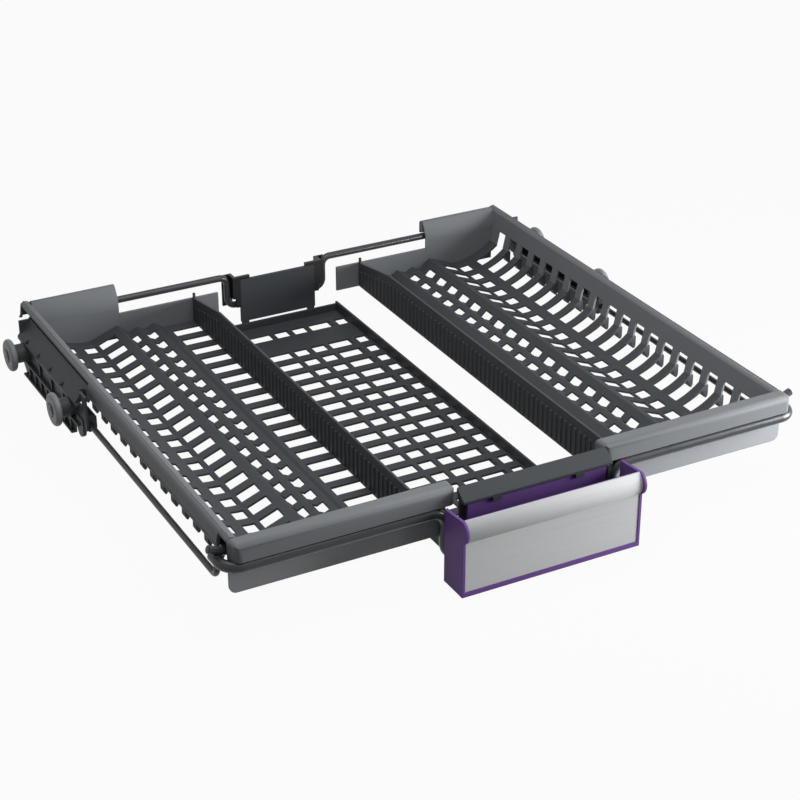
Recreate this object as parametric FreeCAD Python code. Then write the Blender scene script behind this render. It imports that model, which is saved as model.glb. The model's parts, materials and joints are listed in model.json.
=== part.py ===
import FreeCAD, Part
import math
import os

# Pull-out cutlery drawer of a dishwasher: a wire frame with a handle, a low middle bay, two lift-out
# side trays and four rollers. Millimetres. X runs across, Y to the rear and Z up, and the drawer stands
# on Z = 0. Heights are given as drops below the crest of the rim, so that all hangs from the rim.

# The drawer as a whole
rim_width = 497.0          # across the crests of the two outer rims
rim_depth = 460.0          # front edge of the side trays to their rear edge
rim_height = 76.0          # crest of the rim above the plane that the drawer stands on
lift_gap = 0.3             # between what lifts out and what carries it

# Outer rim of a side tray, an upside-down U that hides a rod
rim_shell = 1.9            # wall of the U
rim_roll = 8.3             # width of the U at its crest
rim_round = 2.5            # height of the crest's round
rim_ridge = 0.5            # fine ridge along the crest
ridge_half = 0.6           # half its width
ridge_inset = 3.1          # ridge inside the rim's outer edge
skirt_drop = 15.0          # length of the U's outer leg
skirt_flare = 1.5          # how far the outer leg leans out
bead_height = 2.0          # bead along the outer leg's edge
bead_proud = 0.9
wall_drop = 31.0           # length of the U's inner leg
wall_draft = 6.2           # how far the inner leg leans in
rim_front_cut = 20.0       # outer leg cut away at the front, where the rod turns out
rim_cut_drop = 4.0         # top of that cut, and of the one from the carriage to the rear
rim_cut_play = 0.5         # cut past the front end of the carriage

# Bed of a side tray: a trough at the outside, one high ridge, small waves, then a flat
bed_shell = 2.2            # thickness of the bed and of the tray's walls
bed_drop = 48.0            # flat of the bed
trough_width = 43.0        # outer wall to the lowest line of the trough
trough_drop = 47.0         # that lowest line
ridge_width = 27.0         # lowest line of the trough to the crest of the ridge
ridge_drop = 36.5          # crest of the ridge
ridge_back = 10.0          # crest of the ridge to the first small valley
wave_pitch = 17.0          # one small wave
wave_height = 4.0          # crest of a small wave above its valley
valley_drop = 46.0         # small valleys
flat_least = 24.0          # the flat is at least this wide

# Slots through the beds
slot_pitch = 22.0          # row to row
slot_length = 13.0         # along the drawer
row_margin = 9.0           # bed left before the first row and behind the last
window_top = 17.5          # top of the windows in the outer wall
window_foot = 20.0         # lower end of the windows, outside the trough's lowest line
trough_slot = 11.0         # slots in the trough, across the drawer
trough_bar = 3.6           # bar between them and the ridge's slots
ridge_edge = 7.0           # crest of the ridge to its slots
wave_slot = 9.5            # slots in the small valleys, across the drawer
flat_edge = 5.0            # slots of the flat to the waves

# Walls of a side tray
bay_width = 172.0          # clear width between the two inner walls
inner_wall_drop = 15.0     # top of the inner wall
inner_wall_band = 8.0      # plain band above its ribs
inner_wall_slope = 62.0    # its rear end slopes down to the rear wall over this length
corner_pin_width = 2.4     # pin on its rear corner
corner_pin_height = 5.5
comb_ribs = 3              # ribs on the inner wall for each row of slots
comb_rib_width = 2.8
comb_rib_proud = 0.9
rear_wall_setback = 8.0    # inside of the rear wall ahead of the tray's rear edge
rear_wall_drop = 25.5      # top of the low rear wall
rear_wall_reach = 24.0     # rear wall past the inner wall, towards the middle
hook_length = 87.5         # high rear corner, from the rim's crest inwards
hook_bend_drop = 20.0      # below this the hook's wall is upright
hook_lean = 6.0            # how far the wall leans back at the start of the hook's crest
hook_round = 2.5           # height of the hook's crest
hook_lip_round = 5.0       # height of the round behind the crest
hook_lip_drop = 13.0       # rear lip of the hook
hook_play = 1.5            # rear lip behind the rear wire
hook_ribs = 3              # ribs in the hook, which stand on the rear wire
hook_rib_thick = 2.0
front_wall_top = 16.0      # top of the sloping front wall
front_wall_bend = 35.0     # below this the front wall is upright
front_wall_run = 12.8      # how far the front wall slopes back

# Front ledge and apron of a side tray
ledge_reach = 19.0         # ledge past the inner wall, towards the middle
ledge_setout = 9.0         # front lip of the ledge ahead of the tray's front edge
ledge_back_round = 3.0
ledge_front_round = 5.0
ledge_shell = 2.0
ledge_end_round = 4.0      # rounds of its ends
ledge_corner = 6.0         # rounds of its front corners, seen from above
apron_setback = 4.0        # face of the apron behind the tray's front edge
apron_drop = 47.0          # foot of the apron
apron_corner = 6.0         # round of its lower outer corner

# Wire frame
tube_diameter = 9.0
tube_drop = 19.3           # middle of the front tube
tube_setout = 6.0          # middle of the front tube ahead of the trays' front edge
tube_bend = 14.0           # bends at the front corners
tube_side = 6.0            # middle of the tube's returns outside the rim's crest
tube_return = 10.0         # straight end of a return
tube_leg = 75.0            # middle plane to the legs that go down behind the handle
tube_lift = 10.0           # middle of the dipped run above the bay's bed
dip_bend = 12.0
rod_diameter = 6.5         # rear wire and side rods
rod_bend = 8.0
rod_drop = 15.0            # middle of the rear wire and of the side rods
rod_turn = 10.0            # side rods turn out this far behind the trays' front edge
rod_overhang = 7.0         # rod past the middle of the tube that carries it
weld_gap = 0.25            # rod above the tube
rod_rise = 0.6             # and higher by this, because it slopes there
rear_wire_inset = 0.5      # middle of the rear wire ahead of the trays' rear edge
rear_leg = 50.0            # middle plane to the legs behind the rear plate
rear_dip = 45.0            # middle of the dipped run
wire_diameter = 5.0        # lower side wires
wire_drop = 36.5           # middle of the side wires
wire_inset = 1.5           # side wires inside the middle of the tube's returns
wire_bend = 7.0

# Carriages
carriage_setback = 18.0    # rear end of a carriage's plate ahead of the trays' rear edge
carriage_length = 152.0
carriage_nose = 14.0       # post ahead of the plate
carriage_play = 0.3        # plate outside the side wire
carriage_top = 6.5         # upper edge of its sloping panel
carriage_foot = 56.0
carriage_slope = 9.0       # cut-off lower corner at the rear
carriage_front_cut = 18.0  # foot set back at the front
carriage_plate = 2.0       # thickness
panel_thick = 2.6          # of the sloping panel, upright
tongue_proud = 1.2         # tongue and rear end before the plate
notch_width = 9.0          # pointed notches in the panel's lower edge, above the cross ribs
notch_depth = 4.2
rib_proud = 3.2
rib_thick = 2.0
upper_rib_drop = 21.0      # lower edge of the sloping panel
lower_rib_drop = 39.0
rib_start = 22.0           # first notch ahead of the carriage's rear end
rib_spacing = 15.25        # cross ribs, every second one tall and with a notch
cross_rib_proud = 1.8
post_length = 8.0          # post at the front end, along the drawer
window_drop = 10.0         # top of the see-through slot behind the post
window_back = 4.0          # slot's end behind the panel's front end
nose_drop = 40.0           # foot of the nose
tongue_width = 15.0
tongue_drop = 43.0         # middle of the tongue's round end
clip_rise = 11.0           # top of a wire clip above the middle of the wire
clip_length = 18.0
clip_wall = 2.0            # around the side wire
clip_round = 3.0
wire_fit = 0.1             # bore around a side wire, radius
wire_tail = 3.0            # side wire past the rear clip

# Rollers
wheel_spacing = 116.5
wheel_inset = 15.0         # rear axle ahead of the carriage's rear end
wheel_drop = 31.1          # axles
wheel_diameter = 29.2
wheel_width = 6.0
wheel_round = 2.8
wheel_recess = 2.0         # hollow in the outer face of a roller
wheel_ring = 8.3           # ring around that hollow
wheel_standoff = 12.5      # roller's inner face from the carriage's plate
wheel_fit = 0.05           # roller on its axle, radius
side_play = 0.3            # roller between boss and axle head
boss_diameter = 17.0
axle_diameter = 6.0
axle_head = 11.4
axle_head_thick = 1.4

# Middle bay
runner_height = 3.8        # runners under the bed, on which the drawer stands
runner_width = 2.5
runner_margin = 8.0        # bed past the ends of a runner
bay_shell = 2.2
bay_wall_height = 9.0      # side walls above the bed
bay_mid_bar = 4.8          # bars and slots of the bed, from the middle plane outwards
bay_mid_slot = 13.6
bay_inner_bar = 4.2
bay_long_slot = 23.2
bay_outer_bar = 5.2
bay_outer_slot = 10.8
bay_edge = 0.9             # outer slots to the side walls
bay_row_margin = 12.0      # bed left before the first row and behind the last
bay_plain_row = 2          # this row, counted from the rear, is left without slots
front_plate_drop = 0.4     # top of the front plate
front_plate_thick = 3.0
front_plate_round = 2.5    # its upper corners
front_lip_drop = 10.4      # foot of its sloping lip over the handle's back wall
front_lip_edge = 2.0       # thickness of the lip's edges
front_lip_back = 3.0       # top of the lip behind the plate
plate_gap = 0.5            # plates from the ledges' ends and from the frame's dipped runs
rear_lip_height = 7.0      # rear lip above the bed
rear_plate_width = 78.0
rear_plate_thick = 3.0
rear_plate_drop = 18.0     # top of the rear plate
rear_plate_lift = 1.4      # foot of the rear plate above the rear lip
knuckle_width = 7.0
knuckle_height = 5.0
knuckle_inset = 1.0
rear_clip_jaw = 3.2        # cheek beside the wire
rear_clip_play = 0.25
rear_clip_back = 1.8       # plate behind the wire
rear_clip_drop = 14.5      # top of a rear clip
rear_clip_foot = 46.0
rear_clip_reach = 10.0     # rear clip over the top of the rear plate

# Handle
handle_width = 160.0
handle_shell = 3.2
handle_cheek = 2.5
handle_thick = 28.0        # back to flat front
handle_nose = 5.8          # swelling of the cheeks' upper front
lip_nose = 4.4             # swelling of the front between the cheeks
nose_foot = 29.0           # lower edge of the swelling
nose_top = 10.0            # top of the front
nose_back = 1.0            # top of the front behind its flat
handle_back_drop = 12.4    # top of the back wall
handle_notch = 15.5        # width of the notches at the ends of the back wall
handle_notch_drop = 44.0   # foot of those notches
facing_thick = 1.2
facing_inset = 0.5         # facing behind the edge of the cheeks
facing_border = 4.2        # border left below the facing
hook_tab_width = 8.5       # tabs under the front plate's lip, before the handle's back wall
hook_tab_height = 4.0
hook_tab_thick = 2.0
hook_tab_place = 37.0      # from the middle plane

# Places across the drawer, on its right half
rim_x = rim_width / 2
wall_top_x = rim_x - rim_roll
wall_foot_x = wall_top_x - wall_draft
trough_x = wall_foot_x - trough_width
ridge_x = trough_x - ridge_width
valley_x = ridge_x - ridge_back
inner_x = bay_width / 2
bed_x = inner_x + bed_shell
wave_count = max(0, int((valley_x - bed_x - flat_least) / wave_pitch))
flat_x = valley_x - wave_count * wave_pitch
ledge_x = inner_x - ledge_reach
mid_slot_x = bay_mid_bar / 2
long_slot_x = mid_slot_x + bay_mid_slot + bay_inner_bar
outer_slot_x = long_slot_x + bay_long_slot + bay_outer_bar
runner_x = outer_slot_x - bay_outer_bar / 2
bay_clear_x = outer_slot_x + bay_outer_slot + bay_edge
bay_x = bay_clear_x + bay_shell
window_x = trough_x + window_foot
front_plate_x = ledge_x - plate_gap
wall_slope = wall_draft / (wall_drop - rim_round)
skirt_slope = skirt_flare / (skirt_drop - rim_round)
rod_spread = (skirt_slope - wall_slope) * (rod_drop - rim_round)
rod_x = (wall_top_x + rim_x + rod_spread) / 2     # middle of the U
tube_x = rim_x + tube_side
wire_x = tube_x - wire_inset
plate_x = wire_x + wire_diameter / 2 + carriage_play
plate_face_x = plate_x + carriage_plate
rib_x = plate_face_x + rib_proud
wheel_x = plate_face_x + wheel_standoff

# Places along the drawer
front_y = -rim_depth / 2
rear_y = rim_depth / 2
apron_y = front_y + apron_setback
apron_back_y = apron_y + bed_shell
ledge_y = front_y - ledge_setout
bed_front_y = apron_back_y + front_wall_run
bed_rear_y = rear_y - rear_wall_setback
tube_y = front_y - tube_setout
return_y = tube_y + tube_bend + tube_return
rod_turn_y = front_y + rod_turn
rear_wire_y = rear_y - rear_wire_inset
hook_y = rear_wire_y + rod_diameter / 2 + hook_play + bed_shell
plate_back_y = tube_y - tube_diameter / 2 - plate_gap
handle_y = plate_back_y - front_plate_thick
handle_inside_y = handle_y - handle_shell
front_lip_y = handle_inside_y - hook_tab_thick
handle_front_y = handle_y - handle_thick
handle_nose_y = handle_front_y - handle_nose
bay_rear_y = rear_wire_y - rod_diameter / 2 - plate_gap - rear_plate_thick
carriage_rear = rear_y - carriage_setback
carriage_front = carriage_rear - carriage_length
wheel_places = {"rear": carriage_rear - wheel_inset, "front": carriage_rear - wheel_inset - wheel_spacing}
stand_shift = -(handle_nose_y + hook_y) / 2     # puts the middle of the drawer at Y = 0

# Drops that follow
bay_foot = rim_height - runner_height
bay_drop = bay_foot - bay_shell
bay_wall_drop = bay_drop - bay_wall_height
rear_lip_drop = bay_drop - rear_lip_height
rear_plate_foot = rear_lip_drop - rear_plate_lift
tube_dip = bay_drop - tube_lift
bed_foot = bed_drop + bed_shell
ledge_drop = tube_drop - tube_diameter / 2 - lift_gap
rod_rest_drop = tube_drop - tube_diameter / 2 - rod_diameter / 2 - weld_gap - rod_rise
hook_rib_drop = rod_drop - rod_diameter / 2 - lift_gap


def vec(x, y, drop):
    return FreeCAD.Vector(x, y, rim_height - drop)


def box(x0, x1, y0, y1, top, foot):
    return Part.makeBox(x1 - x0, y1 - y0, foot - top, vec(x0, y0, foot))


def cylinder_x(x0, x1, y, drop, diameter):
    return Part.makeCylinder(diameter / 2, x1 - x0, vec(x0, y, drop), FreeCAD.Vector(1, 0, 0))


# An outline is a list of points. A pair of points in it is an arc through the first to the second.
def outline_face(steps, place):
    edges = []
    here = place(*steps[0])
    for step in steps[1:] + steps[:1]:
        if isinstance(step[0], tuple):
            end = place(*step[1])
            edges.append(Part.Arc(here, place(*step[0]), end).toShape())
        else:
            end = place(*step)
            edges.append(Part.LineSegment(here, end).toShape())
        here = end
    return Part.Face(Part.Wire(edges))


def across(steps, x0, x1):
    face = outline_face(steps, lambda y, drop: vec(x0, y, drop))
    return face.extrude(FreeCAD.Vector(x1 - x0, 0, 0))


def along(steps, y0, y1):
    face = outline_face(steps, lambda x, drop: vec(x, y0, drop))
    return face.extrude(FreeCAD.Vector(0, y1 - y0, 0))


def upright(steps, top, foot):
    face = outline_face(steps, lambda x, y: vec(x, y, foot))
    return face.extrude(FreeCAD.Vector(0, 0, foot - top))


def joined(first, *others):
    return first.fuse(list(others)).removeSplitter()


# Middle of an arc that starts along the rise and turns towards the run, as steps along both
def arc_middle(run, rise):
    radius = (run ** 2 + rise ** 2) / (2 * run)
    half = math.asin(rise / radius) / 2
    return radius * (1 - math.cos(half)), radius * math.sin(half)


# Middle of a quarter round
def quarter(centre_y, centre_drop, radius, side):
    reach = radius * math.sqrt(0.5)
    return centre_y + side * reach, centre_drop - reach


# A bent rod: straight runs joined by round bends
def bent_rod(points, bends, diameter):
    edges = []
    start = points[0]
    for before, corner, after, bend in zip(points, points[1:], points[2:], bends):
        back = (before - corner).normalize()
        ahead = (after - corner).normalize()
        half = back.getAngle(ahead) / 2
        into = corner + back * (bend / math.tan(half))
        out = corner + ahead * (bend / math.tan(half))
        middle = corner + (back + ahead).normalize() * (bend / math.sin(half) - bend)
        if not into.isEqual(start, weld_gap):
            edges.append(Part.LineSegment(start, into).toShape())
        edges.append(Part.Arc(into, middle, out).toShape())
        start = out
    if not start.isEqual(points[-1], weld_gap):
        edges.append(Part.LineSegment(start, points[-1]).toShape())
    ring = Part.Circle(points[0], points[1] - points[0], diameter / 2).toShape()
    return Part.Wire(edges).makePipeShell([Part.Wire(ring)], True, False)


def with_mirror(half):
    return half + [FreeCAD.Vector(-point.x, point.y, point.z) for point in reversed(half)]


def slot_rows(y0, y1, margin):
    count = int((y1 - y0 - 2 * margin - slot_length) / slot_pitch) + 1
    first = (y0 + y1) / 2 - (count - 1) * slot_pitch / 2
    return [first + slot_pitch * row for row in range(count)]


def slot_box(x0, x1, y, top, foot):
    return box(x0, x1, y - slot_length / 2, y + slot_length / 2, top, foot)


# Side tray, right half

def tray_rows():
    return slot_rows(bed_front_y, bed_rear_y, row_margin)


def outer_rim():
    skirt_x = rim_x + skirt_flare
    bead_x = skirt_x - skirt_slope * bead_height
    edge_x = skirt_x + bead_proud
    crest_x = rim_x - rim_roll / 2
    inside = rim_round + rim_shell
    section = [
        (wall_foot_x, wall_drop), (wall_top_x, rim_round), ((crest_x, rim_ridge), (rim_x, rim_round)),
        (bead_x, skirt_drop - bead_height), (edge_x, skirt_drop - bead_height / 2),
        (edge_x, skirt_drop), (skirt_x - rim_shell, skirt_drop), (rim_x - rim_shell, inside),
        ((crest_x, rim_ridge + rim_shell), (wall_top_x + rim_shell, inside)),
        (wall_foot_x + rim_shell, wall_drop)]
    rim = along(section, apron_back_y, hook_y)
    top_x = rim_x - ridge_inset
    ridge = along([(top_x - 2 * ridge_half, 2 * rim_ridge), (top_x, 0.0),
                   (top_x + 2 * ridge_half, 2 * rim_ridge)], apron_back_y, hook_y)
    cap = box(wall_top_x + rim_shell / 2, rim_x, hook_y - rim_shell, hook_y, rim_round, hook_lip_drop)
    front_cut = box(crest_x, edge_x, apron_back_y, front_y + rim_front_cut, rim_cut_drop, skirt_drop)
    side_cut = box(crest_x, edge_x, carriage_front - rim_cut_play, hook_y - rim_shell, rim_cut_drop,
                   skirt_drop)
    rear_cut = box(wall_foot_x, crest_x, bed_rear_y + bed_shell, hook_y - rim_shell, hook_rib_drop,
                   wall_drop)
    end_cut = box(wall_foot_x, crest_x, hook_y - rim_shell, hook_y, hook_lip_drop, wall_drop)
    windows = [slot_box(wall_foot_x, wall_top_x + rim_shell, y, window_top, wall_drop) for y in tray_rows()]
    return joined(rim, ridge, cap).cut([front_cut, side_cut, rear_cut, end_cut] + windows)


# All that lies outside the inner face of the rim's inner leg
def beyond_wall():
    bed_end_x = wall_foot_x + rim_shell
    steps = [(wall_top_x, 0.0), (wall_top_x, rim_round), (wall_foot_x, wall_drop), (bed_end_x, wall_drop),
             (bed_end_x, bed_foot), (rim_x, bed_foot), (rim_x, 0.0)]
    return along(steps, apron_back_y, hook_y)


def bed_top():
    steps = [(bed_x, bed_drop), (flat_x, bed_drop)]
    for wave in range(wave_count, 0, -1):
        steps.append((valley_x - (wave - 0.5) * wave_pitch, valley_drop - wave_height))
        steps.append((valley_x - (wave - 1) * wave_pitch, valley_drop))
    return steps + [(ridge_x, ridge_drop), (trough_x, trough_drop)]


def bed_lands():
    lands = [(window_x, wall_foot_x + rim_shell), (trough_x, trough_x + trough_slot),
             (ridge_x + ridge_edge, trough_x - trough_bar), (inner_x, flat_x - flat_edge)]
    for wave in range(wave_count):
        middle = valley_x - wave * wave_pitch
        lands.append((middle - wave_slot / 2, middle + wave_slot / 2))
    return lands


def tray_bed():
    steps = bed_top()
    sag, reach = arc_middle(trough_drop - wall_drop, trough_width)
    bow = (trough_x + reach, trough_drop - sag)
    lower = [(x, drop + bed_shell) for x, drop in reversed(steps)]
    outer = wall_foot_x + rim_shell
    section = steps + [(bow, (wall_foot_x, wall_drop)), (outer, wall_drop), (outer, wall_drop + bed_shell)]
    section += [((bow[0], bow[1] + bed_shell), lower[0])] + lower[1:]
    cuts = []
    for y in tray_rows():
        for x0, x1 in bed_lands():
            cuts.append(slot_box(x0, x1, y, wall_drop, bed_foot))
    return along(section, bed_front_y, bed_rear_y).cut(cuts)


def inner_wall():
    slope_y = bed_rear_y - inner_wall_slope
    fall = (rear_wall_drop - inner_wall_drop) / inner_wall_slope
    plate = across([
        (apron_back_y, inner_wall_drop), (apron_back_y, front_wall_top), (bed_front_y, front_wall_bend),
        (bed_front_y, bed_foot), (bed_rear_y, bed_foot), (bed_rear_y, rear_wall_drop),
        (slope_y, inner_wall_drop)], inner_x, bed_x)
    pin = box(inner_x, bed_x, bed_rear_y - corner_pin_width, bed_rear_y, rear_wall_drop - corner_pin_height,
              rear_wall_drop + corner_pin_width)
    pitch = slot_pitch / comb_ribs
    count = int((bed_rear_y - bed_front_y - comb_rib_width) / pitch)
    first = (bed_front_y + bed_rear_y) / 2 - (count - 1) * pitch / 2
    ribs = []
    for rib in range(count):
        y = first + rib * pitch
        top = inner_wall_drop + inner_wall_band + fall * max(0.0, y - slope_y)
        ribs.append(box(inner_x - comb_rib_proud, bed_x + comb_rib_proud, y - comb_rib_width / 2,
                        y + comb_rib_width / 2, top, bed_drop))
    return joined(plate, pin, *ribs)


def low_rear_wall():
    return box(inner_x - rear_wall_reach, rim_x - hook_length, bed_rear_y, bed_rear_y + bed_shell,
               rear_wall_drop, bed_foot)


def rear_hook():
    back_step, up_step = arc_middle(hook_lean, hook_bend_drop - hook_round)
    lean = (bed_rear_y + back_step, hook_bend_drop - up_step)
    crest = bed_rear_y + hook_lean
    back = hook_y - bed_shell
    under_crest = (crest + bed_shell, hook_round + bed_shell / 2)
    under_top = ((crest + hook_y) / 2, bed_shell)
    under_lip = (back, hook_lip_round + bed_shell / 2)
    section = [
        (bed_rear_y, bed_foot), (bed_rear_y, hook_bend_drop), (lean, (crest, hook_round)),
        (((crest + hook_y) / 2, 0.0), (hook_y, hook_lip_round)), (hook_y, hook_lip_drop),
        (back, hook_lip_drop), under_lip, (under_top, under_crest),
        ((lean[0] + bed_shell, lean[1]), (bed_rear_y + bed_shell, hook_bend_drop)),
        (bed_rear_y + bed_shell, bed_foot)]
    rib = [under_crest, (under_top, under_lip), (back, hook_rib_drop), (under_crest[0], hook_rib_drop)]
    start = rim_x - hook_length
    spacing = (wall_top_x - start - hook_rib_thick) / (hook_ribs - 1)
    ribs = []
    for place in range(hook_ribs):
        x = start + place * spacing
        ribs.append(across(rib, x, x + hook_rib_thick))
    return joined(across(section, start, wall_top_x), *ribs).cut(beyond_wall())


def front_wall():
    section = [(apron_back_y, front_wall_top), (apron_back_y + bed_shell, front_wall_top),
               (bed_front_y, front_wall_bend), (bed_front_y, bed_foot), (bed_front_y - bed_shell, bed_foot),
               (bed_front_y - bed_shell, front_wall_bend)]
    return across(section, bed_x, wall_top_x).cut(beyond_wall())


# An outline with two round upper corners
def rounded_top(x0, x1, top, foot, radius):
    corner = radius * (1 - math.sqrt(0.5))
    return [(x0, foot), (x0, top + radius), ((x0 + corner, top + corner), (x0 + radius, top)),
            (x1 - radius, top), ((x1 - corner, top + corner), (x1, top + radius)), (x1, foot)]


def ledge_outline(inset):
    back = apron_back_y - inset
    front = ledge_y + inset
    back_round = ledge_back_round - inset
    front_round = ledge_front_round - inset
    back_arc = quarter(back - back_round, ledge_back_round, back_round, 1)
    front_arc = quarter(front + front_round, ledge_front_round, front_round, -1)
    return [(back, ledge_drop), (back, ledge_back_round), (back_arc, (back - back_round, inset)),
            (front + front_round, inset), (front_arc, (front, ledge_front_round)), (front, ledge_drop)]


def ledge_block(inset):
    inner = ledge_x + inset
    outer = rim_x - inset
    front = ledge_y + inset
    back = apron_back_y - inset
    ends = along(rounded_top(inner, outer, inset, ledge_drop, ledge_end_round - inset), front, back)
    plan = upright(rounded_top(inner, outer, front, back, ledge_corner - inset), inset, ledge_drop)
    return across(ledge_outline(inset), inner, outer).common(ends).common(plan)


def front_ledge():
    return ledge_block(0.0).cut(ledge_block(ledge_shell)).removeSplitter()


def front_apron():
    inner = ledge_x + ledge_shell
    outer = rim_x
    corner = apron_corner * (1 - math.sqrt(0.5))
    steps = [(inner, ledge_drop), (outer, ledge_drop), (outer, apron_drop - apron_corner),
             ((outer - corner, apron_drop - corner), (outer - apron_corner, apron_drop)), (inner, apron_drop)]
    return along(steps, apron_y, apron_back_y)


# Wire frame

def front_tube():
    half = [vec(tube_x, return_y, tube_drop), vec(tube_x, tube_y, tube_drop),
            vec(tube_leg, tube_y, tube_drop), vec(tube_leg, tube_y, tube_dip)]
    bends = [tube_bend, dip_bend, dip_bend]
    return bent_rod(with_mirror(half), bends + bends[::-1], tube_diameter)


def rear_wire():
    half = [vec(rod_x, rear_wire_y - rod_bend, rod_drop), vec(rod_x, rear_wire_y, rod_drop),
            vec(rear_leg, rear_wire_y, rod_drop), vec(rear_leg, rear_wire_y, rear_dip)]
    points = with_mirror(half)
    return bent_rod(points, [rod_bend] * len(points), rod_diameter)


def side_rod():
    climb = (rod_drop - rod_rest_drop) / (tube_x - rod_x)
    end = tube_x + rod_overhang
    points = [vec(rod_x, rear_wire_y - rod_bend, rod_drop), vec(rod_x, rod_turn_y, rod_drop),
              vec(end, rod_turn_y, rod_drop - climb * (end - rod_x))]
    return bent_rod(points, [rod_bend], rod_diameter)


def side_wire():
    riser_y = return_y - wire_diameter / 2
    points = [vec(wire_x, riser_y, tube_drop), vec(wire_x, riser_y, wire_drop),
              vec(wire_x, carriage_rear + wire_tail, wire_drop)]
    return bent_rod(points, [wire_bend], wire_diameter).cut(front_tube())


# Carriage and rollers, right half

def carriage_plate_shape(nose_y, panel_drop, slope_drop):
    post_top = carriage_top + rib_thick
    foot_front = carriage_front + carriage_front_cut
    return across([
        (nose_y, post_top), (carriage_front, post_top), (carriage_front, panel_drop),
        (carriage_rear, panel_drop), (carriage_rear, slope_drop),
        (carriage_rear - carriage_slope, carriage_foot), (foot_front, carriage_foot),
        (foot_front, slope_drop), (carriage_front, slope_drop), (carriage_front, nose_drop),
        (nose_y, nose_drop)], plate_x, plate_face_x)


# Sloping panel from above the side rod, under the rim's edge, out to the upper rib
def carriage_panel():
    under = carriage_top + panel_thick
    return along([
        (rod_x, carriage_top), (rim_x, carriage_top), (rib_x, upper_rib_drop),
        (rib_x, upper_rib_drop + panel_thick), (rim_x, under), (rod_x, under)], carriage_front, carriage_rear)


def carriage_tongue():
    half = tongue_width / 2
    top = nose_drop - half
    return across([
        (carriage_front - half, top), (carriage_front + half, top), (carriage_front + half, tongue_drop),
        ((carriage_front, tongue_drop + half), (carriage_front - half, tongue_drop))],
        plate_x, plate_face_x + tongue_proud)


def carriage():
    nose_y = carriage_front - carriage_nose
    end_x = plate_face_x + tongue_proud
    slope_drop = carriage_foot - carriage_slope
    foot_front = carriage_front + carriage_front_cut
    panel_slope = (upper_rib_drop - carriage_top) / (rib_x - rim_x)
    panel_drop = carriage_top + panel_slope * (plate_face_x - rim_x)
    end_wall = along([(rim_x, carriage_top), (end_x, carriage_top), (end_x, slope_drop),
                      (plate_x, slope_drop), (plate_x, panel_drop)], carriage_rear - rib_thick, carriage_rear)
    web_y = carriage_front + window_back
    web = box(rim_x + rib_thick, plate_x, web_y, web_y + rib_thick, carriage_top + panel_thick,
              upper_rib_drop)
    parts = [carriage_panel(), carriage_tongue(), end_wall, web]
    for drop in (upper_rib_drop, lower_rib_drop):
        parts.append(box(plate_face_x, rib_x, carriage_front, carriage_rear, drop, drop + rib_thick))
    parts.append(box(plate_face_x, rib_x, foot_front, carriage_rear - carriage_slope,
                     carriage_foot - rib_thick, carriage_foot))
    bores = [box(rod_x, rib_x, nose_y + post_length, carriage_front + window_back, window_drop,
                 upper_rib_drop)]
    for rib in range(int((carriage_length - rib_start - carriage_front_cut) / rib_spacing) + 1):
        y = carriage_rear - rib_start - rib * rib_spacing
        tall = rib % 2 == 0
        parts.append(box(plate_face_x, plate_face_x + cross_rib_proud, y - rib_thick / 2, y + rib_thick / 2,
                         upper_rib_drop if tall else lower_rib_drop, carriage_foot))
        if tall:
            notch = [(rib_x, y - notch_width / 2), (rib_x - notch_depth, y), (rib_x, y + notch_width / 2)]
            bores.append(upright(notch, carriage_top, upper_rib_drop))
    for y in wheel_places.values():
        parts.append(cylinder_x(plate_face_x, wheel_x - side_play, y, wheel_drop, boss_diameter))
        bores.append(cylinder_x(plate_x, wheel_x + wheel_width, y, wheel_drop, axle_diameter))
    return joined(carriage_plate_shape(nose_y, panel_drop, slope_drop), *parts).cut(bores)


def wire_clip(y0):
    inner = wire_x - wire_diameter / 2 - clip_wall
    top = wire_drop - clip_rise
    foot = wire_drop + wire_diameter / 2 + clip_wall
    corner = clip_round * (1 - math.sqrt(0.5))
    low_arc = ((inner + corner, foot - corner), (inner, foot - clip_round))
    high_arc = ((inner + corner, top + corner), (inner + clip_round, top))
    steps = [(plate_x, foot), (inner + clip_round, foot), low_arc, (inner, top + clip_round), high_arc,
             (plate_x, top)]
    bore = Part.makeCylinder(wire_diameter / 2 + wire_fit, clip_length, vec(wire_x, y0, wire_drop),
                             FreeCAD.Vector(0, 1, 0))
    return along(steps, y0, y0 + clip_length).cut(bore)


def wheel(y):
    outer = wheel_x + wheel_width
    radius = wheel_diameter / 2
    bore = axle_diameter / 2 + wheel_fit
    ring = radius - wheel_ring
    corner = wheel_round * (1 - math.sqrt(0.5))
    steps = [
        (wheel_x, bore), (wheel_x, radius - wheel_round),
        ((wheel_x + corner, radius - corner), (wheel_x + wheel_round, radius)),
        (outer - wheel_round, radius), ((outer - corner, radius - corner), (outer, radius - wheel_round)),
        (outer, ring), (outer - wheel_recess, ring), (outer - wheel_recess, bore)]
    face = outline_face(steps, lambda x, r: vec(x, y, wheel_drop - r))
    return face.revolve(vec(0, y, wheel_drop), FreeCAD.Vector(1, 0, 0), 360)


def axle(y):
    head_x = wheel_x + wheel_width - wheel_recess + side_play
    pin = cylinder_x(plate_x, head_x, y, wheel_drop, axle_diameter)
    return joined(pin, cylinder_x(head_x, head_x + axle_head_thick, y, wheel_drop, axle_head))


# Middle bay

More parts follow.
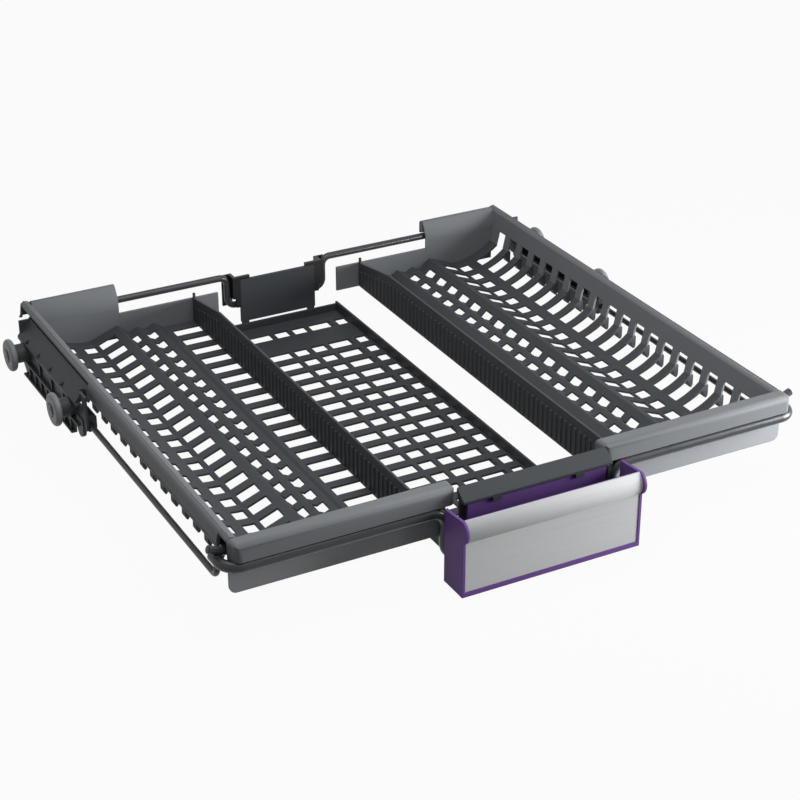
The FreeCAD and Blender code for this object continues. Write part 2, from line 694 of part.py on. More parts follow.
def bay_bed():
    bed = upright([
        (-front_plate_x, plate_back_y), (front_plate_x, plate_back_y), (bay_x, apron_y), (bay_x, bay_rear_y),
        (-bay_x, bay_rear_y), (-bay_x, apron_y)], bay_drop, bay_foot)
    rows = slot_rows(apron_y, bay_rear_y, bay_row_margin)
    del rows[-bay_plain_row]
    columns = ((mid_slot_x, bay_mid_slot), (long_slot_x, bay_long_slot), (outer_slot_x, bay_outer_slot))
    cuts = []
    for y in rows:
        for start, width in columns:
            end = start + width
            for x0, x1 in ((start, end), (-end, -start)):
                cuts.append(slot_box(x0, x1, y, bay_drop, bay_foot))
    runners = []
    for x in (-runner_x, runner_x):
        runners.append(box(x - runner_width / 2, x + runner_width / 2, apron_y + runner_margin,
                           bay_rear_y - runner_margin, bay_foot, rim_height))
    return joined(bed.cut(cuts), *runners)


def bay_wall():
    return box(bay_clear_x, bay_x, apron_y, bay_rear_y, bay_wall_drop, bay_drop)


def bay_rear_lip():
    return box(-bay_clear_x, bay_clear_x, bay_rear_y - bay_shell, bay_rear_y, rear_lip_drop, bay_drop)


def front_plate():
    steps = rounded_top(-front_plate_x, front_plate_x, front_plate_drop, bay_foot, front_plate_round)
    top_y = plate_back_y + front_lip_back
    lip = across([(plate_back_y, front_lip_drop), (front_lip_y, front_lip_drop),
                  (front_lip_y, front_lip_drop - front_lip_edge), (top_y, front_plate_drop),
                  (top_y, front_plate_drop + front_lip_edge)], -front_plate_x, front_plate_x)
    plate = box(-front_plate_x, front_plate_x, handle_y, plate_back_y, front_lip_drop, bay_foot)
    return joined(plate, lip.common(along(steps, front_lip_y, top_y)))


def rear_plate():
    half = rear_plate_width / 2
    back = bay_rear_y + rear_plate_thick
    plate = box(-half, half, bay_rear_y, back, rear_plate_drop, rear_plate_foot)
    outer = half - knuckle_inset
    inner = outer - knuckle_width
    foot = rear_plate_foot + knuckle_height
    return joined(plate, box(inner, outer, bay_rear_y, back, rear_plate_foot, foot),
                  box(-outer, -inner, bay_rear_y, back, rear_plate_foot, foot))


def rear_clip():
    hold = rod_diameter / 2 + rear_clip_play
    inner = rear_leg - hold - rear_clip_jaw
    back = rear_wire_y + hold + rear_clip_back
    inner_foot = rear_dip - rod_bend - lift_gap
    arm_back = bay_rear_y + rear_plate_thick
    half = rear_plate_width / 2
    arm = box(half, inner, bay_rear_y, arm_back, rear_clip_drop, rear_clip_foot)
    over = box(half - rear_clip_reach, half, bay_rear_y, arm_back, rear_clip_drop, rear_plate_drop)
    return joined(arm, over, box(inner, rear_leg - hold, bay_rear_y, back, rear_clip_drop, inner_foot),
                  box(inner, rear_leg + hold, rear_wire_y + hold, back, rear_clip_drop, rear_clip_foot))


# Handle

def handle_front(inset, nose):
    middle = (nose_foot + nose_top) / 2
    return [(handle_front_y + inset, nose_foot),
            ((handle_front_y - nose + inset, middle), (handle_front_y + nose_back + inset, nose_top))]


def handle_body():
    half = handle_width / 2
    floor_drop = rim_height - handle_shell
    seat = facing_inset + facing_thick
    outline = [(handle_y, rim_height), (handle_front_y, rim_height)] + handle_front(0.0, handle_nose)
    outline += [(handle_inside_y, handle_back_drop), (handle_y, handle_back_drop)]
    solid = across(outline, -half, half)
    hollow = [(handle_inside_y, floor_drop), (handle_front_y + handle_shell, floor_drop)]
    hollow += handle_front(handle_shell, lip_nose) + [(handle_front_y + nose_back + handle_shell, 0.0),
                                                      (handle_inside_y, 0.0)]
    ahead = handle_nose_y - handle_shell
    pocket = [(ahead, rim_height - facing_border), (handle_front_y + seat, rim_height - facing_border)]
    pocket += handle_front(seat, lip_nose) + [(handle_front_y + nose_back + seat, 0.0), (ahead, 0.0)]
    inside = half - handle_cheek
    notch_x = inside - handle_notch
    notches = [box(x, x + handle_notch, handle_inside_y, handle_y, 0.0, handle_notch_drop)
               for x in (-inside, notch_x)]
    return solid.cut([across(hollow, -inside, inside), across(pocket, -inside, inside)] + notches)


def handle_facing():
    seat = facing_inset + facing_thick
    foot = rim_height - facing_border
    face_y = handle_front_y + facing_inset
    low, (bulge, high) = handle_front(seat, lip_nose)
    steps = [(face_y, foot)] + handle_front(facing_inset, lip_nose) + [high, (bulge, low), (low[0], foot)]
    inside = handle_width / 2 - handle_cheek
    return across(steps, -inside, inside)


def hook_tab():
    start = hook_tab_place - hook_tab_width / 2
    return box(start, start + hook_tab_width, front_lip_y, handle_inside_y, front_lip_drop,
               front_lip_drop + hook_tab_height)


# All pieces: those on the middle plane, and those that a left one mirrors
middle_pieces = {
    "front_tube": front_tube(), "rear_wire": rear_wire(), "bay_bed": bay_bed(),
    "bay_rear_lip": bay_rear_lip(),
    "bay_front_plate": front_plate(), "bay_rear_plate": rear_plate(), "handle_body": handle_body(),
    "handle_facing": handle_facing()}
paired_pieces = {
    "outer_rim": outer_rim(), "tray_bed": tray_bed(), "inner_wall": inner_wall(),
    "low_rear_wall": low_rear_wall(),
    "rear_hook": rear_hook(), "front_wall": front_wall(), "front_ledge": front_ledge(),
    "front_apron": front_apron(), "side_rod": side_rod(), "side_wire": side_wire(), "carriage": carriage(),
    "front_wire_clip": wire_clip(carriage_front - carriage_nose),
    "rear_wire_clip": wire_clip(carriage_rear - clip_length), "bay_wall": bay_wall(),
    "bay_rear_clip": rear_clip(), "handle_hook": hook_tab()}
for end, place in wheel_places.items():
    paired_pieces[end + "_wheel"] = wheel(place)
    paired_pieces[end + "_axle"] = axle(place)

nodes = dict(middle_pieces)
for name, shape in paired_pieces.items():
    nodes["right_" + name] = shape
    nodes["left_" + name] = shape.mirror(FreeCAD.Vector(0, 0, 0), FreeCAD.Vector(1, 0, 0))

os.makedirs("parts", exist_ok=True)
for name, shape in nodes.items():
    if not shape.isValid() or len(shape.Solids) != 1:
        raise ValueError(name + " is not one sound solid")
    placed = shape.Solids[0].translated(FreeCAD.Vector(0, stand_shift, 0))
    placed.exportStep("parts/" + name + ".step")
    size = placed.BoundBox
    print(name, round(size.XLength, 1), round(size.YLength, 1), round(size.ZLength, 1),
          round(placed.Volume / 1000, 1))
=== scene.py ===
import json
import math
import bmesh
import bpy
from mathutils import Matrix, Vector
from mathutils.geometry import interpolate_bezier


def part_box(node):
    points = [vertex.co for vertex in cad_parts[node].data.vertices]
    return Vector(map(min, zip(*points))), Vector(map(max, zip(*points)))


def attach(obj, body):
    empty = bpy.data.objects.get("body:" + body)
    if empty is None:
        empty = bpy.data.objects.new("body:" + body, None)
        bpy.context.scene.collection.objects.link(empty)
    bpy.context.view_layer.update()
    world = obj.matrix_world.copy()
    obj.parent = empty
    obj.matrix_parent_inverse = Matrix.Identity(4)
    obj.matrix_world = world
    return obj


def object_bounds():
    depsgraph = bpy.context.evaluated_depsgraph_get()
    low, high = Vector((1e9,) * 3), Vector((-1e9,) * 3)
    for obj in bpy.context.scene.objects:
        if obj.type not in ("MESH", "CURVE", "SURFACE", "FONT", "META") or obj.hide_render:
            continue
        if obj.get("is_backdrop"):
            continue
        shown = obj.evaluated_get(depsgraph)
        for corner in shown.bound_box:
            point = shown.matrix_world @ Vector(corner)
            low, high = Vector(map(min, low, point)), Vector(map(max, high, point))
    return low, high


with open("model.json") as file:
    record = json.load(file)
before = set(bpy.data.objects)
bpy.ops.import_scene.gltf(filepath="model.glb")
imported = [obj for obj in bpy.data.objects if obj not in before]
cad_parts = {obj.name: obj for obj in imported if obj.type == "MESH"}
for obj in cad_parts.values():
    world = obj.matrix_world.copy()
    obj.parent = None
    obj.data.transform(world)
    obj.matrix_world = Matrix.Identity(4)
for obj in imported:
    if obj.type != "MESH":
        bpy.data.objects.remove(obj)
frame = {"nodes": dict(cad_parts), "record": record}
cadLow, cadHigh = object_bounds()
nodes = frame["nodes"]
subparts = frame["record"]["subparts"]
scene = bpy.context.scene
scene.view_settings.view_transform = "Standard"
mm = 0.001
bothSides = (("left", -1), ("right", 1))        # the name of a side and its way out along x
print("cutlery drawer loaded:", len(nodes), "CAD nodes")


# sRGB hex to the linear colour that a shader takes
def linearColour(hexColour):
    channels = [int(hexColour[i:i + 2], 16) / 255 for i in (1, 3, 5)]
    return tuple(c / 12.92 if c <= 0.04045 else ((c + 0.055) / 1.055) ** 2.4 for c in channels) + (1.0,)


# adds one node: settings are its own properties, inputs are values or sockets to link
def addNode(tree, kind, inputs=None, **settings):
    node = tree.nodes.new("ShaderNode" + kind)
    for key, value in settings.items():
        setattr(node, key, value)
    for socket, value in (inputs or {}).items():
        if isinstance(value, bpy.types.NodeSocket):
            tree.links.new(value, node.inputs[socket])
        else:
            node.inputs[socket].default_value = value
    return node


def emptyMaterial(name):
    material = bpy.data.materials.new(name)
    material.use_nodes = True
    material.node_tree.nodes.clear()
    return material, material.node_tree


noiseRange = {"From Min": 0.3, "From Max": 0.7}         # a noise has nearly all of its values in here
rubbedAndLitEdge = {"From Min": 0.98, "From Max": 0.75}       # rounded against flat normal: untouched, fully rubbed and painted bright


# moulded plastic: a grained skin with a soft sheen, slow drift of the pigment and paler rounded edges, partly
# rubbed wear and partly a painted highlight along the edges
# a tool's grain is 0.1 to 0.3 mm wide and is drawn at 0.9 mm or more, so that it shows
def mouldedPlastic(name, look):
    material, tree = emptyMaterial(name)
    place = addNode(tree, "TexCoord").outputs["Object"]      # metres, in the drawer's own frame
    drift = addNode(tree, "TexNoise", {"Vector": place, "Scale": 1 / (look["driftMm"] * mm), "Detail": 3.0})
    grain = addNode(tree, "TexNoise", {"Vector": place, "Scale": 1 / (look["grainMm"] * mm), "Detail": 2.0,
                                       "Roughness": 0.6})
    rounded = addNode(tree, "Bevel", {"Radius": look["edgeMm"] * mm}, samples=4)
    flat = addNode(tree, "NewGeometry")
    facing = addNode(tree, "VectorMath", {0: rounded.outputs["Normal"], 1: flat.outputs["Normal"]},
                     operation="DOT_PRODUCT")
    # paler towards rounded edges: partly rubbed wear, partly a painted highlight along them
    rubAndHighlight = addNode(tree, "MapRange", {"Value": facing.outputs["Value"], **rubbedAndLitEdge,
                                     "To Min": 0.0, "To Max": look["rubAndHighlight"]})
    pigment = addNode(tree, "Mix", {"Factor": drift.outputs["Fac"], "A": linearColour(look["colour"]),
                                    "B": linearColour(look["drift"])}, data_type="RGBA")
    wornAndHighlit = addNode(tree, "Mix", {"Factor": rubAndHighlight.outputs["Result"], "A": pigment.outputs["Result"],
                                 "B": linearColour(look["wornAndHighlit"])}, data_type="RGBA")
    sheen = addNode(tree, "MapRange", {"Value": grain.outputs["Fac"], **noiseRange,
                                       "To Min": look["rough"][0], "To Max": look["rough"][1]})
    skin = addNode(tree, "Bump", {"Height": grain.outputs["Fac"], "Distance": look["depthMm"] * mm,
                                  "Strength": 1.0, "Normal": rounded.outputs["Normal"]})
    shader = addNode(tree, "BsdfPrincipled", {
        "Base Color": wornAndHighlit.outputs["Result"], "Roughness": sheen.outputs["Result"], "IOR": look["ior"],
        "Specular IOR Level": look["gloss"], "Normal": skin.outputs["Normal"]})
    addNode(tree, "OutputMaterial", {"Surface": shader.outputs["BSDF"]})
    return material


# talc-filled polypropylene, moulded on a spark-eroded tool: a matt grey with a soft bloom
polypropyleneTrays = mouldedPlastic("polypropyleneMouldedGrained", {
    "colour": "#696C6F", "drift": "#626568", "wornAndHighlit": "#8B8E92", "rubAndHighlight": 0.7, "gloss": 0.12,
    "rough": (0.48, 0.62), "ior": 1.49, "grainMm": 1.2, "depthMm": 0.05, "driftMm": 55, "edgeMm": 0.6})

# a darker grey of it for the slotted beds, their ribs and the inner walls: matt, so that the slots stand out
polypropyleneBeds = mouldedPlastic("polypropyleneMouldedDim", {
    "colour": "#404346", "drift": "#3A3D40", "wornAndHighlit": "#56595C", "rubAndHighlight": 0.5, "gloss": 0.12,
    "rough": (0.5, 0.62), "ior": 1.49, "grainMm": 1.2, "depthMm": 0.05, "driftMm": 45, "edgeMm": 0.6})

# the same resin from a smoother tool: paler, with a clearer sheen
polypropyleneAprons = mouldedPlastic("polypropyleneMouldedSmooth", {
    "colour": "#85888B", "drift": "#7D8083", "wornAndHighlit": "#95989B", "rubAndHighlight": 0.4, "gloss": 0.2,
    "rough": (0.36, 0.46), "ior": 1.49, "grainMm": 2.5, "depthMm": 0.02, "driftMm": 80, "edgeMm": 0.6})

# the darkest batch, for the bay: matt, and close to black in its own shade
polypropyleneBay = mouldedPlastic("polypropyleneMouldedDark", {
    "colour": "#3A3D40", "drift": "#34373A", "wornAndHighlit": "#4E5154", "rubAndHighlight": 0.5, "gloss": 0.12,
    "rough": (0.5, 0.62), "ior": 1.49, "grainMm": 1.2, "depthMm": 0.05, "driftMm": 45, "edgeMm": 0.6})

# glass-filled polyamide: dark, with a faint silky flow of the fibres
polyamideCarriages = mouldedPlastic("polyamideGlassFilledMoulded", {
    "colour": "#3C3F42", "drift": "#36393C", "wornAndHighlit": "#54575A", "rubAndHighlight": 0.6, "gloss": 0.15,
    "rough": (0.42, 0.56), "ior": 1.53, "grainMm": 0.9, "depthMm": 0.03, "driftMm": 22, "edgeMm": 0.5})

# unfilled black acetal for the clips and the axle heads: waxy and nearly black
acetalClips = mouldedPlastic("acetalMouldedBlack", {
    "colour": "#1E1F22", "drift": "#1A1B1D", "wornAndHighlit": "#34363A", "rubAndHighlight": 0.5, "gloss": 0.3,
    "rough": (0.32, 0.44), "ior": 1.48, "grainMm": 0.9, "depthMm": 0.02, "driftMm": 18, "edgeMm": 0.4})

# natural grey acetal of the rollers: pale and waxy, scuffed where it rolls, its rounded edges paler with a
# painted highlight
acetalRollers = mouldedPlastic("acetalMouldedGrey", {
    "colour": "#7C7F81", "drift": "#727577", "wornAndHighlit": "#95989A", "rubAndHighlight": 0.5, "gloss": 0.2,
    "rough": (0.34, 0.5), "ior": 1.48, "grainMm": 1.0, "depthMm": 0.04, "driftMm": 12, "edgeMm": 0.6})

# ABS dyed through: deep violet with an even satin skin
absHandle = mouldedPlastic("absMouldedViolet", {
    "colour": "#624681", "drift": "#5B4078", "wornAndHighlit": "#70568E", "rubAndHighlight": 0.5, "gloss": 0.08,
    "rough": (0.42, 0.52), "ior": 1.54, "grainMm": 1.0, "depthMm": 0.02, "driftMm": 40, "edgeMm": 0.7})


# steel wire dipped in polyamide powder: smooth, with a slow orange peel and soft bright lines along it
def coatedWire(name, look):
    material, tree = emptyMaterial(name)
    place = addNode(tree, "TexCoord").outputs["Object"]
    peel = addNode(tree, "TexNoise", {"Vector": place, "Scale": 1 / (look["peelMm"] * mm), "Detail": 1.0})
    drift = addNode(tree, "TexNoise", {"Vector": place, "Scale": 1 / (look["driftMm"] * mm), "Detail": 3.0})
    coat = addNode(tree, "Mix", {"Factor": drift.outputs["Fac"], "A": linearColour(look["colour"]),
                                 "B": linearColour(look["drift"])}, data_type="RGBA")
    sheen = addNode(tree, "MapRange", {"Value": drift.outputs["Fac"], **noiseRange,
                                       "To Min": look["rough"][0], "To Max": look["rough"][1]})
    skin = addNode(tree, "Bump", {"Height": peel.outputs["Fac"], "Distance": look["depthMm"] * mm,
                                  "Strength": 1.0})
    shader = addNode(tree, "BsdfPrincipled", {
        "Base Color": coat.outputs["Result"], "Roughness": sheen.outputs["Result"], "IOR": look["ior"],
        "Specular IOR Level": look["gloss"], "Normal": skin.outputs["Normal"]})
    addNode(tree, "OutputMaterial", {"Surface": shader.outputs["BSDF"]})
    return material


polyamideWires = coatedWire("steelWirePolyamideCoated", {
    "colour": "#303336", "drift": "#2A2D30", "rough": (0.26, 0.36), "ior": 1.53, "gloss": 0.3,
    "peelMm": 2.5, "depthMm": 0.012, "driftMm": 14})


# stainless sheet brushed along the handle: fine level streaks and a broad milky sheen that mirrors no shapes,
# for which it is kept rough and only part metal
# the brush leaves lines about 0.1 mm apart, drawn at 0.7 mm so that they show
def brushedSheet(name, look):
    material, tree = emptyMaterial(name)
    place = addNode(tree, "TexCoord").outputs["Object"]
    drawn = addNode(tree, "Mapping", {"Vector": place, "Scale": (
        1 / (look["streakLongMm"] * mm), 1 / (look["streakMm"] * mm), 1 / (look["streakMm"] * mm))})
    streak = addNode(tree, "TexNoise", {"Vector": drawn.outputs["Vector"], "Scale": 1.0, "Detail": 4.0,
                                        "Roughness": 0.65})
    tone = addNode(tree, "Mix", {"Factor": streak.outputs["Fac"], "A": linearColour(look["colour"]),
                                 "B": linearColour(look["streak"])}, data_type="RGBA")
    blur = addNode(tree, "MapRange", {"Value": streak.outputs["Fac"], **noiseRange,
                                      "To Min": look["rough"][0], "To Max": look["rough"][1]})
    lines = addNode(tree, "Bump", {"Height": streak.outputs["Fac"], "Distance": look["depthMm"] * mm,
                                   "Strength": 1.0})
    shader = addNode(tree, "BsdfPrincipled", {
        "Base Color": tone.outputs["Result"], "Metallic": look["metal"], "Roughness": blur.outputs["Result"],
        "Normal": lines.outputs["Normal"]})
    addNode(tree, "OutputMaterial", {"Surface": shader.outputs["BSDF"]})
    return material


stainlessFacing = brushedSheet("stainlessSteelBrushed", {
    "colour": "#ABACAD", "streak": "#A3A4A5", "metal": 0.35, "rough": (0.78, 0.88),
    "streakMm": 0.7, "streakLongMm": 90, "depthMm": 0.02})
print("materials made:", len(bpy.data.materials))

# each CAD node takes the finish of its slot
finishes = {
    "tray_plastic": polypropyleneTrays, "bed_plastic": polypropyleneBeds,
    "apron_plastic": polypropyleneAprons, "bay_plastic": polypropyleneBay,
    "carriage_plastic": polyamideCarriages, "clip_plastic": acetalClips, "wheel_plastic": acetalRollers,
    "frame_wire": polyamideWires, "handle_plastic": absHandle, "facing_steel": stainlessFacing}
for part in subparts:
    nodes[part["node"]].material_slots[0].material = finishes[part["material_slot"]]

# no edge is knife sharp: each node but the wires and the wheels gets a small round on its corners
edgeRound = {"weldMm": 0.002, "segments": 2, "cornerDegrees": 40, "radiusMm": {
    "tray_plastic": 0.45, "bed_plastic": 0.45, "apron_plastic": 0.4, "bay_plastic": 0.4,
    "carriage_plastic": 0.35, "clip_plastic": 0.3, "handle_plastic": 0.5, "facing_steel": 0.25}}
for part in subparts:
    radius = edgeRound["radiusMm"].get(part["material_slot"])
    if radius:
        node = nodes[part["node"]]
        weld = node.modifiers.new("weld", "WELD")
        weld.merge_threshold = edgeRound["weldMm"] * mm
        edge = node.modifiers.new("edgeRound", "BEVEL")
        edge.width = radius * mm
        edge.segments = edgeRound["segments"]
        edge.limit_method = "ANGLE"
        edge.angle_limit = math.radians(edgeRound["cornerDegrees"])
print("finishes and edge rounds set")


def pieceFrom(mesh, name):
    data = bpy.data.meshes.new(name)
    mesh.to_mesh(data)
    mesh.free()
    return bpy.data.objects.new(name, data)


# places a piece made around its own z axis, riding on the frame
def fitToFrame(piece, material, at, axis):
    scene.collection.objects.link(piece)
    piece.data.materials.append(material)
    piece.location = at
    piece.rotation_euler = Vector(axis).to_track_quat("Z", "Y").to_euler()
    smooth = piece.modifiers.new("smooth", "SUBSURF")
    smooth.levels = smooth.render_levels = 1
    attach(piece, "frame")


# a turned piece: the profile holds radius and height, from the rim in to the middle
def turnedPiece(name, profile, sides):
    mesh = bmesh.new()
    rings = []
    for radius, height in profile[:-1]:
        ring = []
        for step in range(sides):
            angle = 2 * math.pi * step / sides
            ring.append(mesh.verts.new((radius * math.cos(angle), radius * math.sin(angle), height)))
        rings.append(ring)
    for outer, inner in zip(rings, rings[1:]):
        for step in range(sides):
            after = (step + 1) % sides
            mesh.faces.new((outer[step], outer[after], inner[after], inner[step]))
    top = mesh.verts.new((0, 0, profile[-1][1]))
    for step in range(sides):
        mesh.faces.new((rings[-1][step], rings[-1][(step + 1) % sides], top))
    base = mesh.faces.new(list(reversed(rings[0])))
    for face in mesh.faces:
        face.smooth = face != base
    return pieceFrom(mesh, name)


# a weld: a ring of overlapping drops around a joint
def weldRing(name, look):
    mesh = bmesh.new()
    around, section = look["drops"] * look["perDrop"], look["section"]
    rings = []
    for step in range(around):
        angle = 2 * math.pi * step / around
        swell = 1 + look["swell"] * math.sin(look["drops"] * angle)
        ring = []
        for turn in range(section):
            lean = 2 * math.pi * turn / section
            reach = (look["radiusMm"] + look["thickMm"] * swell * math.cos(lean)) * mm
            ring.append(mesh.verts.new((reach * math.cos(angle), reach * math.sin(angle),
                                        look["thickMm"] * swell * math.sin(lean) * mm)))
        rings.append(ring)
    for step in range(around):
        here, after = rings[step], rings[(step + 1) % around]
        for turn in range(section):
            over = (turn + 1) % section
            mesh.faces.new((here[turn], after[turn], after[over], here[over])).smooth = True
    return pieceFrom(mesh, name)


# caps of the axles: a dome with a stepped edge and a dimple left by the gate
axleCap = {"sides": 24, "profileMm": (
    (5.6, 0.0), (5.6, 0.25), (5.3, 0.5), (4.6, 0.62), (4.4, 0.85), (3.4, 1.15), (2.0, 1.3), (1.1, 1.3),
    (0.8, 0.95), (0.0, 0.85))}
for side, out in bothSides:
    for end in ("front", "rear"):
        low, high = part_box(side + "_" + end + "_axle")
        middle = (low + high) / 2
        middle.x = high.x if out > 0 else low.x
        cap = turnedPiece(side + "_" + end + "_axle_cap", [(r * mm, h * mm) for r, h in axleCap["profileMm"]],
                          axleCap["sides"])
        fitToFrame(cap, acetalClips, middle, (out, 0, 0))

# the frame's ends are closed by the coating, which gathers there as a dome
# its rings are shares of the wire's radius, and it is fuller than an ellipse, whose power is 2
coatedEnd = {"sides": 20, "proud": 0.28, "power": 2.6, "rings": (1.0, 0.98, 0.86, 0.6, 0.28, 0.0)}


def coatedEndCap(name, radius, at, axis):
    power = coatedEnd["power"]
    profile = [(radius * ring, radius * coatedEnd["proud"] * (1 - ring ** power) ** (1 / power))
               for ring in coatedEnd["rings"]]
    fitToFrame(turnedPiece(name, profile, coatedEnd["sides"]), polyamideWires, at, axis)


# where the right side's rod ends and lies on the front tube, and where its wire runs into the tube, in metres
frameJoints = {"tubeRadius": 4.5 * mm, "rodRadius": 3.25 * mm, "wireRadius": 2.5 * mm,
               "rodEnd": (0.2615, -0.199325, 0.0681), "rodRise": 0.3996,
               "rodRest": (0.2545, -0.199325, 0.0613), "wireTop": (0.253, -0.193825, 0.0525)}
restWeld = {"drops": 9, "perDrop": 6, "section": 10, "radiusMm": 2.3, "thickMm": 1.1, "swell": 0.16}
wireWeld = {"drops": 11, "perDrop": 6, "section": 10, "radiusMm": 2.6, "thickMm": 0.9, "swell": 0.16}
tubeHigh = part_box("front_tube")[1]
for side, out in bothSides:
    reach = frameJoints["tubeRadius"]
    tubeEnd = (out * (tubeHigh.x - reach), tubeHigh.y, tubeHigh.z - reach)
    coatedEndCap(side + "_tube_end", reach, tubeEnd, (0, 1, 0))
    x, y, z = frameJoints["rodEnd"]
    rodAxis = (out, 0, frameJoints["rodRise"])
    coatedEndCap(side + "_rod_end", frameJoints["rodRadius"], (out * x, y, z), rodAxis)
    wireLow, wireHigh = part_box(side + "_side_wire")
    wireEnd = ((wireLow.x + wireHigh.x) / 2, wireHigh.y, wireLow.z + frameJoints["wireRadius"])
    coatedEndCap(side + "_wire_end", frameJoints["wireRadius"], wireEnd, (0, 1, 0))
    for name, look, place in (("rod_weld", restWeld, "rodRest"), ("wire_weld", wireWeld, "wireTop")):
        x, y, z = frameJoints[place]
        ring = weldRing(side + "_" + name, look)
        fitToFrame(ring, polyamideWires, (out * x, y, z), (0, 0, 1))
print("caps, coated ends and welds fitted")


# an outline of x and drop below the rim, in mm, drawn along the drawer between each pair of places
def drawnAlong(name, outline, spans, out, smooth):
    mesh = bmesh.new()
    for span in spans:
        near, far = [[mesh.verts.new((out * x * mm, y * mm, cadHigh.z - drop * mm)) for x, drop in outline]
                     for y in span]
        caps = [mesh.faces.new(near), mesh.faces.new(list(reversed(far)))]
        for step in range(len(outline)):
            after = (step + 1) % len(outline)
            mesh.faces.new((near[step], far[step], far[after], near[after])).smooth = smooth
        for cap in caps:
            for edge in cap.edges:
                edge.smooth = False         # the ends stay crisp beside a smooth length
    bmesh.ops.recalc_face_normals(mesh, faces=mesh.faces)
    return pieceFrom(mesh, name)


# the rim's outer leg is one full round from its ridge down to its bead, ahead of the carriage
# the curve holds a Bezier's ends and handles, and the closing points run by the bead and inside the plain leg
rimRound = {"alongMm": (-189.2, 80.0), "points": 11,
            "curveMm": ((246.1, 0.72), (248.8, 1.5), (250.6, 5.3), (250.5, 11.0)),
            "closingMm": ((250.4, 12.4), (250.0, 13.3), (249.2, 13.3), (248.2, 4.2), (246.4, 1.6))}
crest = interpolate_bezier(*[Vector(point) for point in rimRound["curveMm"]], rimRound["points"])
rimOutline = [tuple(point) for point in crest] + list(rimRound["closingMm"])
# ribs outside the trough, one under each bar between the slots, spread evenly about the bed's middle
troughRibs = {"count": 18, "pitchMm": 22.0, "widthMm": 8.4, "edgeMm": 0.6, "outlineMm": (
    (234.6, 31.4), (238.4, 31.4), (238.4, 41.0), (237.2, 43.4), (235.8, 43.4), (231.2, 35.2))}
for side, out in bothSides:
    skin = drawnAlong(side + "_rim_round", rimOutline, [rimRound["alongMm"]], out, True)
    bedLow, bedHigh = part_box(side + "_tray_bed")
    bedMiddle = (bedLow.y + bedHigh.y) / 2 / mm
    spans = []
    for rib in range(troughRibs["count"]):
        y = bedMiddle + (rib - (troughRibs["count"] - 1) / 2) * troughRibs["pitchMm"]
        spans.append((y - troughRibs["widthMm"] / 2, y + troughRibs["widthMm"] / 2))
    ribs = drawnAlong(side + "_trough_ribs", troughRibs["outlineMm"], spans, out, False)
    edge = ribs.modifiers.new("edgeRound", "BEVEL")
    edge.width = troughRibs["edgeMm"] * mm
    edge.segments = edgeRound["segments"]
    for piece, material, slot in ((skin, polypropyleneTrays, "tray_plastic"),
                                  (ribs, polypropyleneBeds, "bed_plastic")):
        scene.collection.objects.link(piece)
        piece.data.materials.append(material)
        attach(piece, side + "_tray")
print("rounds of the rims and ribs of the troughs fitted")

# the camera stands where the photo was taken
photoCamera = {"azimuth": -28.179, "elevation": 27.562, "distance": 1.59135, "lens": 88.055,
               "lookAt": (-0.03762, -0.073502, 0.076), "clip": (0.05, 60)}


def placeCamera(view):
    turn, lift = math.radians(view["azimuth"]), math.radians(view["elevation"])
    back = Vector((math.sin(turn) * math.cos(lift), -math.cos(turn) * math.cos(lift), math.sin(lift)))
    camera = bpy.data.objects.new("photoCamera", bpy.data.cameras.new("photoCamera"))
    scene.collection.objects.link(camera)
    camera.data.lens = view["lens"]
    camera.data.clip_start, camera.data.clip_end = view["clip"]
    camera.location = Vector(view["lookAt"]) + back * view["distance"]
    camera.rotation_euler = (-back).to_track_quat("-Z", "Y").to_euler()
    scene.camera = camera


placeCamera(photoCamera)


# 1 for what is seen, straight or mirrored or through glass, and 0 for what only lights the drawer
def seenRays(tree):
    rays = addNode(tree, "LightPath")
    mirrored = addNode(tree, "Math", {0: rays.outputs["Is Camera Ray"], 1: rays.outputs["Is Glossy Ray"]},
                       operation="MAXIMUM")
    seen = addNode(tree, "Math", {0: mirrored.outputs["Value"], 1: rays.outputs["Is Transmission Ray"]},
                   operation="MAXIMUM")
    return seen.outputs["Value"]


# pale floor: white to the eye, with a soft shadow left in it
studioFloor = {"size": 40.0, "glow": 0.95, "colour": "#8C8C8C"}


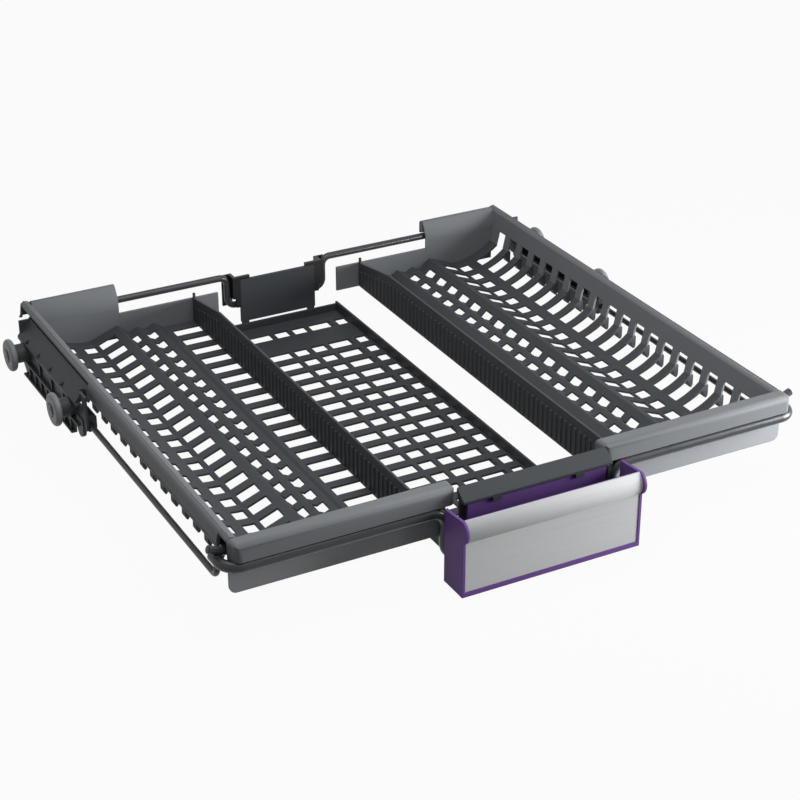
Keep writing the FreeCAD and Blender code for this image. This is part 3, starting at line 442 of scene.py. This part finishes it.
def layFloor(look):
    mesh = bpy.data.meshes.new("studioFloor")
    half = look["size"] / 2
    corners = [(-half, -half, 0), (half, -half, 0), (half, half, 0), (-half, half, 0)]
    mesh.from_pydata(corners, [], [(0, 1, 2, 3)])
    floor = bpy.data.objects.new("studioFloor", mesh)
    scene.collection.objects.link(floor)
    material, tree = emptyMaterial("paperSweepMatt")
    share = addNode(tree, "Math", {0: seenRays(tree), 1: look["glow"]}, operation="MULTIPLY")
    paper = addNode(tree, "BsdfDiffuse", {"Color": linearColour(look["colour"])})
    glow = addNode(tree, "Emission", {"Color": (1, 1, 1, 1), "Strength": 1.0})
    mix = addNode(tree, "MixShader", {0: share.outputs["Value"], 1: paper.outputs["BSDF"],
                                      2: glow.outputs["Emission"]})
    addNode(tree, "OutputMaterial", {"Surface": mix.outputs["Shader"]})
    mesh.materials.append(material)
    floor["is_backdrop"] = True


layFloor(studioFloor)

# soft studio light: a room that is dimmer at the left, a broad lamp overhead and a low one at the front right
studioLight = {"room": (0.15, 0.34), "brightSide": (0.5, 0.0, 0.87),
               "top": {"power": 3.8, "size": 0.6, "at": (-0.06, -0.12, 0.6)},
               "key": {"power": 9.5, "size": 0.3, "at": (0.62, -0.46, 0.16)}, "aim": (0.0, -0.05, 0.04)}


def lightStudio(look):
    world = bpy.data.worlds.new("studioRoom")
    scene.world = world
    world.use_nodes = True
    tree = world.node_tree
    tree.nodes.clear()
    towards = addNode(tree, "TexCoord").outputs["Generated"]
    side = addNode(tree, "VectorMath", {0: towards, 1: Vector(look["brightSide"]).normalized()},
                   operation="DOT_PRODUCT")
    room = addNode(tree, "MapRange", {"Value": side.outputs["Value"], "From Min": -1.0,
                                      "To Min": look["room"][0], "To Max": look["room"][1]})
    level = addNode(tree, "MapRange", {"Value": seenRays(tree), "To Min": room.outputs["Result"],
                                       "To Max": 1.0})
    glow = addNode(tree, "Background", {"Color": (1, 1, 1, 1), "Strength": level.outputs["Result"]})
    addNode(tree, "OutputWorld", {"Surface": glow.outputs["Background"]})
    for name in ("top", "key"):
        lamp = bpy.data.objects.new(name + "Light", bpy.data.lights.new(name + "Light", "AREA"))
        scene.collection.objects.link(lamp)
        lamp.data.energy = look[name]["power"]
        lamp.data.size = look[name]["size"]
        lamp.location = look[name]["at"]
        aim = Vector(look["aim"]) - lamp.location
        lamp.rotation_euler = aim.to_track_quat("-Z", "Y").to_euler()


lightStudio(studioLight)
print("camera, floor and light placed")

low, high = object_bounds()
